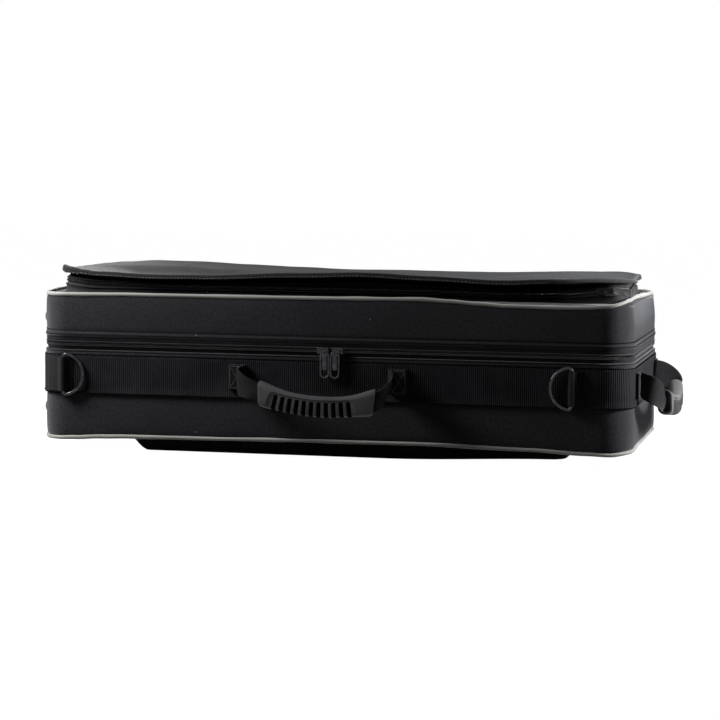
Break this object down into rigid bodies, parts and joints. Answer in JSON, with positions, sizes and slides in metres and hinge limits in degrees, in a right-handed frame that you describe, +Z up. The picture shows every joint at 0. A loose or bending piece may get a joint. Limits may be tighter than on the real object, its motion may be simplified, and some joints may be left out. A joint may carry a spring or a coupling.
{
  "type": "alto saxophone case",
  "caption": "Cloth-covered rectangular alto saxophone case with a zipped lid, a zipped pocket on top, two padded handles, D-rings and a moulded plush interior.",
  "frame": {"origin": "centre of the case's plan, on the flat underside of the strap bag that it stands on", "axes": "+X along the length towards the end with the handle, +Z up, -Y towards the front with the handle and the zip sliders"},
  "size_m": [0.6944, 0.3072, 0.197],
  "materials": {
    "shell_cloth": "matte woven polyester",
    "piping_cord": "smooth warm grey piping",
    "webbing": "ribbed black webbing",
    "zip_tape": "fine black tape",
    "zip_coil": "black nylon coil",
    "shell_foam": "moulded rigid foam",
    "lining_plush": "short dark plush on foam",
    "flap_cloth": "coated black cloth with a soft sheen",
    "grip_vinyl": "satin moulded dark grey",
    "dark_metal": "gunmetal plating",
    "foot_plastic": "black moulded plastic"
  },
  "bodies": {
    "base": {"base_shell": "shell_foam", "base_side_cover": "shell_cloth", "base_bottom_cover": "shell_cloth", "base_piping": "piping_cord", "base_insert": "lining_plush", "base_zip_tape": "zip_tape", "base_zip_coil": "zip_coil", "base_hinge_cloth": "shell_cloth", "belt_webbing": "webbing", "strap_bag": "shell_cloth", "strap_end": "webbing", "base_feet": "foot_plastic", "base_foot_rivets": "dark_metal", "left_ring_tab": "webbing", "right_ring_tab": "webbing", "front_handle_anchors": "webbing", "end_handle_anchors": "webbing"},
    "lid": {"lid_shell": "shell_foam", "lid_side_cover": "shell_cloth", "lid_top_cover": "shell_cloth", "lid_piping": "piping_cord", "lid_insert": "lining_plush", "lid_zip_tape": "zip_tape", "lid_zip_coil": "zip_coil", "lid_hinge_cloth": "shell_cloth", "lid_feet": "foot_plastic", "lid_foot_rivets": "dark_metal", "pocket_lower_gusset": "shell_cloth", "pocket_lower_tape": "zip_tape", "pocket_lower_coil": "zip_coil"},
    "flap": {"pocket_upper_coil": "zip_coil", "pocket_upper_tape": "zip_tape", "pocket_upper_gusset": "shell_cloth", "pocket_flap": "flap_cloth", "pocket_flap_binding": "webbing"},
    "slider_left": {"left_slider": "dark_metal"},
    "slider_right": {"right_slider": "dark_metal"},
    "puller_left": {"left_puller": "dark_metal"},
    "puller_right": {"right_puller": "dark_metal"},
    "slider_pocket": {"pocket_slider": "dark_metal"},
    "puller_pocket": {"pocket_puller": "dark_metal"},
    "handle_front": {"front_handle_grip": "grip_vinyl", "front_handle_core": "webbing", "front_handle_strap_near": "webbing", "front_handle_strap_far": "webbing"},
    "handle_end": {"end_handle_grip": "grip_vinyl", "end_handle_core": "webbing", "end_handle_strap_near": "webbing", "end_handle_strap_far": "webbing"},
    "ring_left": {"left_d_ring": "dark_metal"},
    "ring_right": {"right_d_ring": "dark_metal"}
  },
  "joints": [
    {"name": "lid_hinge", "type": "hinge", "parent": "base", "child": "lid", "pos_m": [0, 0.13, 0.116], "axis": [-1, 0, 0], "range_deg": [0, 110]},
    {"name": "flap_hinge", "type": "hinge", "parent": "lid", "child": "flap", "pos_m": [0.008, 0.114, 0.183], "axis": [-1, 0, 0], "range_deg": [0, 100]},
    {"name": "left_slider_slide", "type": "slide", "parent": "base", "child": "slider_left", "axis": [-1, 0, 0], "range_m": [0, 0.255]},
    {"name": "right_slider_slide", "type": "slide", "parent": "base", "child": "slider_right", "axis": [1, 0, 0], "range_m": [0, 0.218]},
    {"name": "left_puller_hinge", "type": "hinge", "parent": "slider_left", "child": "puller_left", "pos_m": [-0.007, -0.1366, 0.116], "axis": [-1, 0, 0], "range_deg": [0, 170]},
    {"name": "right_puller_hinge", "type": "hinge", "parent": "slider_right", "child": "puller_right", "pos_m": [0.01, -0.1366, 0.116], "axis": [-1, 0, 0], "range_deg": [0, 170]},
    {"name": "pocket_slider_slide", "type": "slide", "parent": "lid", "child": "slider_pocket", "axis": [-1, 0, 0], "range_m": [0, 0.55]},
    {"name": "pocket_puller_hinge", "type": "hinge", "parent": "slider_pocket", "child": "puller_pocket", "pos_m": [0.285, -0.1206, 0.183], "axis": [0, 0, -1], "range_deg": [0, 170]},
    {"name": "front_handle_hinge", "type": "hinge", "parent": "base", "child": "handle_front", "pos_m": [-0.01, -0.1318, 0.08475], "axis": [-1, 0, 0], "range_deg": [-30, 80], "deforming": ["front_handle_strap_near", "front_handle_strap_far"]},
    {"name": "end_handle_hinge", "type": "hinge", "parent": "base", "child": "handle_end", "pos_m": [0.3218, -0.006, 0.08475], "axis": [0, -1, 0], "range_deg": [-30, 80], "deforming": ["end_handle_strap_near", "end_handle_strap_far"]},
    {"name": "left_ring_hinge", "type": "hinge", "parent": "base", "child": "ring_left", "pos_m": [-0.2905, -0.1355, 0.083], "axis": [0, 0, -1], "range_deg": [0, 170]},
    {"name": "right_ring_hinge", "type": "hinge", "parent": "base", "child": "ring_right", "pos_m": [0.2595, -0.1355, 0.083], "axis": [0, 0, 1], "range_deg": [0, 170]}
  ]
}
